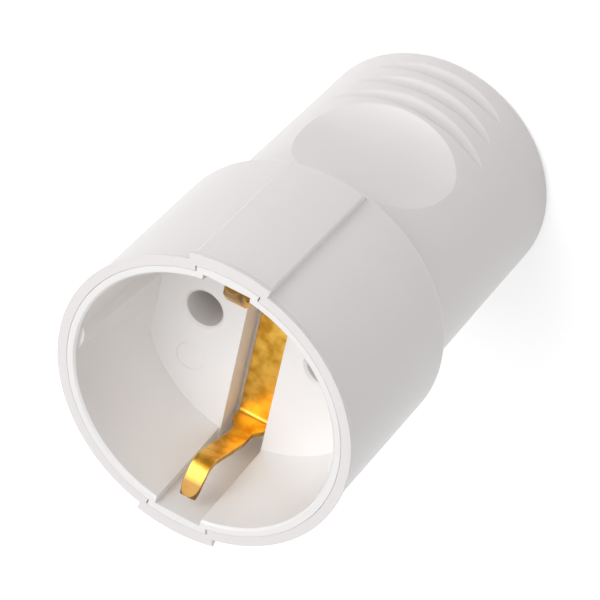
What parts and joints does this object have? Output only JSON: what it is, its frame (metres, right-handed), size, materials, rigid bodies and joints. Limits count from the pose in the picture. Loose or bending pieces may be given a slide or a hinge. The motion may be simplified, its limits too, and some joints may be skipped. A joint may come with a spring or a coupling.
{
  "type": "power socket",
  "caption": "In-line mains socket with a round well, side earth springs, raised keys on the collar and a scooped, rippled handle.",
  "frame": {"origin": "centre of the flat rear face, which the socket stands on", "axes": "+Z along the socket's axis and out of the mouth of the well; the pin holes lie along X; the earth springs, keys and finger grips lie along Y"},
  "size_m": [0.0444, 0.0466, 0.0685],
  "materials": {
    "cover_plastic": "smooth moulded white, satin to gloss",
    "carrier_plastic": "smooth moulded white, satin to gloss",
    "strap_brass": "bright rolled strip",
    "contact_brass": "bright turned",
    "spring_steel": "plain spring steel",
    "zinc_steel": "bright zinc plated",
    "retainer_plastic": "plain moulded, insulating",
    "grommet_rubber": "soft black",
    "clamp_plastic": "plain moulded, insulating"
  },
  "bodies": {
    "root": {"cover": "cover_plastic", "contact_carrier": "carrier_plastic", "earth_strap": "strap_brass", "line_contact": "contact_brass", "neutral_contact": "contact_brass", "line_spring_clip": "spring_steel", "neutral_spring_clip": "spring_steel", "line_terminal_screw": "zinc_steel", "neutral_terminal_screw": "zinc_steel", "contact_retainer": "retainer_plastic", "retainer_screw": "zinc_steel", "earth_terminal": "contact_brass", "earth_terminal_screw": "zinc_steel", "earth_rivet": "contact_brass", "cover_screw_right": "zinc_steel", "cover_screw_left": "zinc_steel", "cord_grommet": "grommet_rubber", "clamp_plate": "clamp_plastic", "clamp_screw_right": "zinc_steel", "clamp_screw_left": "zinc_steel"}
  },
  "joints": []
}
